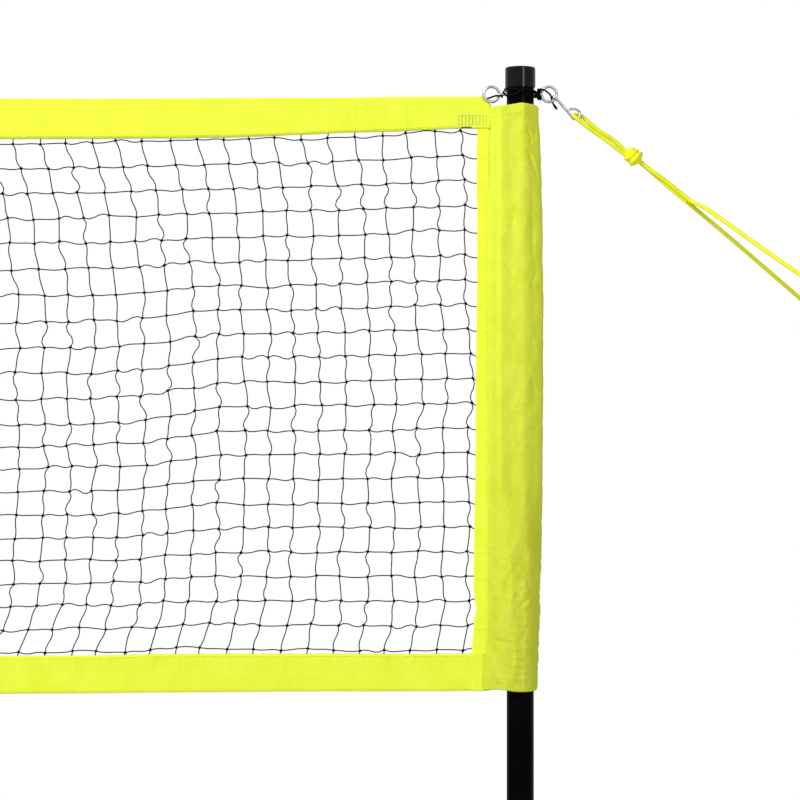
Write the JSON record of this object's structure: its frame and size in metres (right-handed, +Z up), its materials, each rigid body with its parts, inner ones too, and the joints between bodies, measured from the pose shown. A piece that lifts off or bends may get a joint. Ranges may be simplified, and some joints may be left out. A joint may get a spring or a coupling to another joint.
{
  "type": "net on telescoping poles",
  "caption": "Outdoor volleyball and badminton net on two telescoping poles with sleeves, guy ropes, tensioners and ground stakes.",
  "frame": {"origin": "on the ground at the axis of the right pole, where its ground spike enters the soil", "axes": "+X outwards along the net, so the net and the left pole lie at -X; -Y the front, +Y the back; +Z up"},
  "size_m": [12.0862, 3.2454, 2.4627],
  "materials": {
    "black_steel_tube": "black powder-coated steel tube, satin",
    "black_moulded_plastic": "black moulded plastic",
    "zinc_steel": "bright zinc-plated steel wire and rod",
    "yellow_cloth": "fluorescent yellow coated woven cloth",
    "dark_twine": "dark navy knotted nylon twine",
    "black_cord": "black braided cord",
    "yellow_rope": "fluorescent yellow braided polypropylene rope"
  },
  "bodies": {
    "ground_frame": {"right_bottom_tube": "black_steel_tube", "right_foot": "black_moulded_plastic", "right_ground_spike": "zinc_steel", "left_bottom_tube": "black_steel_tube", "left_foot": "black_moulded_plastic", "left_ground_spike": "zinc_steel", "ground_stakes": "zinc_steel", "stake_heads": "black_moulded_plastic", "right_front_guy": "yellow_rope", "right_back_guy": "yellow_rope", "left_front_guy": "yellow_rope", "left_back_guy": "yellow_rope"},
    "upper_frame": {"right_top_tube": "black_steel_tube", "right_cap": "black_moulded_plastic", "right_eye_pin": "zinc_steel", "right_guy_hook": "zinc_steel", "right_guy_bridle": "yellow_rope", "right_head_lashing": "black_cord", "right_sleeve": "yellow_cloth", "left_top_tube": "black_steel_tube", "left_cap": "black_moulded_plastic", "left_eye_pin": "zinc_steel", "left_guy_hook": "zinc_steel", "left_guy_bridle": "yellow_rope", "left_head_lashing": "black_cord", "left_sleeve": "yellow_cloth", "top_tape": "yellow_cloth", "bottom_tape": "yellow_cloth", "netting": "dark_twine", "head_cord": "black_cord"},
    "middle_tubes": {"right_middle_tube": "black_steel_tube", "left_middle_tube": "black_steel_tube"},
    "right_upper_button_clip": {"right_upper_button": "zinc_steel"},
    "right_lower_button_clip": {"right_lower_button": "zinc_steel"},
    "left_upper_button_clip": {"left_upper_button": "zinc_steel"},
    "left_lower_button_clip": {"left_lower_button": "zinc_steel"},
    "right_front_tensioner_slider": {"right_front_tensioner": "black_moulded_plastic"},
    "right_back_tensioner_slider": {"right_back_tensioner": "black_moulded_plastic"},
    "left_front_tensioner_slider": {"left_front_tensioner": "black_moulded_plastic"},
    "left_back_tensioner_slider": {"left_back_tensioner": "black_moulded_plastic"}
  },
  "joints": [
    {"name": "height", "type": "slide", "parent": "ground_frame", "child": "upper_frame", "axis": [0, 0, 1], "range_m": [-0.69, 0.19], "deforming": ["right_front_guy", "right_back_guy", "left_front_guy", "left_back_guy"]},
    {"name": "middle_tube_slide", "type": "slide", "parent": "ground_frame", "child": "middle_tubes", "axis": [0, 0, 1], "range_m": [-0.414, 0.114]},
    {"name": "right_upper_button_press", "type": "slide", "parent": "upper_frame", "child": "right_upper_button_clip", "axis": [0, 1, 0], "range_m": [0, 0.0045], "stiffness_N_per_m": 600, "springref_m": -0.003, "deforming": ["right_upper_button"]},
    {"name": "right_lower_button_press", "type": "slide", "parent": "middle_tubes", "child": "right_lower_button_clip", "axis": [0, 1, 0], "range_m": [0, 0.0045], "stiffness_N_per_m": 600, "springref_m": -0.003, "deforming": ["right_lower_button"]},
    {"name": "left_upper_button_press", "type": "slide", "parent": "upper_frame", "child": "left_upper_button_clip", "axis": [0, 1, 0], "range_m": [0, 0.0045], "stiffness_N_per_m": 600, "springref_m": -0.003, "deforming": ["left_upper_button"]},
    {"name": "left_lower_button_press", "type": "slide", "parent": "middle_tubes", "child": "left_lower_button_clip", "axis": [0, 1, 0], "range_m": [0, 0.0045], "stiffness_N_per_m": 600, "springref_m": -0.003, "deforming": ["left_lower_button"]},
    {"name": "right_front_tensioner_slide", "type": "slide", "parent": "ground_frame", "child": "right_front_tensioner_slider", "axis": [-0.7247, 0.4184, 0.5476], "range_m": [-0.3, 0.3]},
    {"name": "right_back_tensioner_slide", "type": "slide", "parent": "ground_frame", "child": "right_back_tensioner_slider", "axis": [-0.7247, -0.4184, 0.5476], "range_m": [-0.3, 0.3]},
    {"name": "left_front_tensioner_slide", "type": "slide", "parent": "ground_frame", "child": "left_front_tensioner_slider", "axis": [0.7247, 0.4184, 0.5476], "range_m": [-0.3, 0.3]},
    {"name": "left_back_tensioner_slide", "type": "slide", "parent": "ground_frame", "child": "left_back_tensioner_slider", "axis": [0.7247, -0.4184, 0.5476], "range_m": [-0.3, 0.3]}
  ],
  "couplings": [
    {"joint": "middle_tube_slide", "follows": "height", "ratio": 0.6}
  ]
}
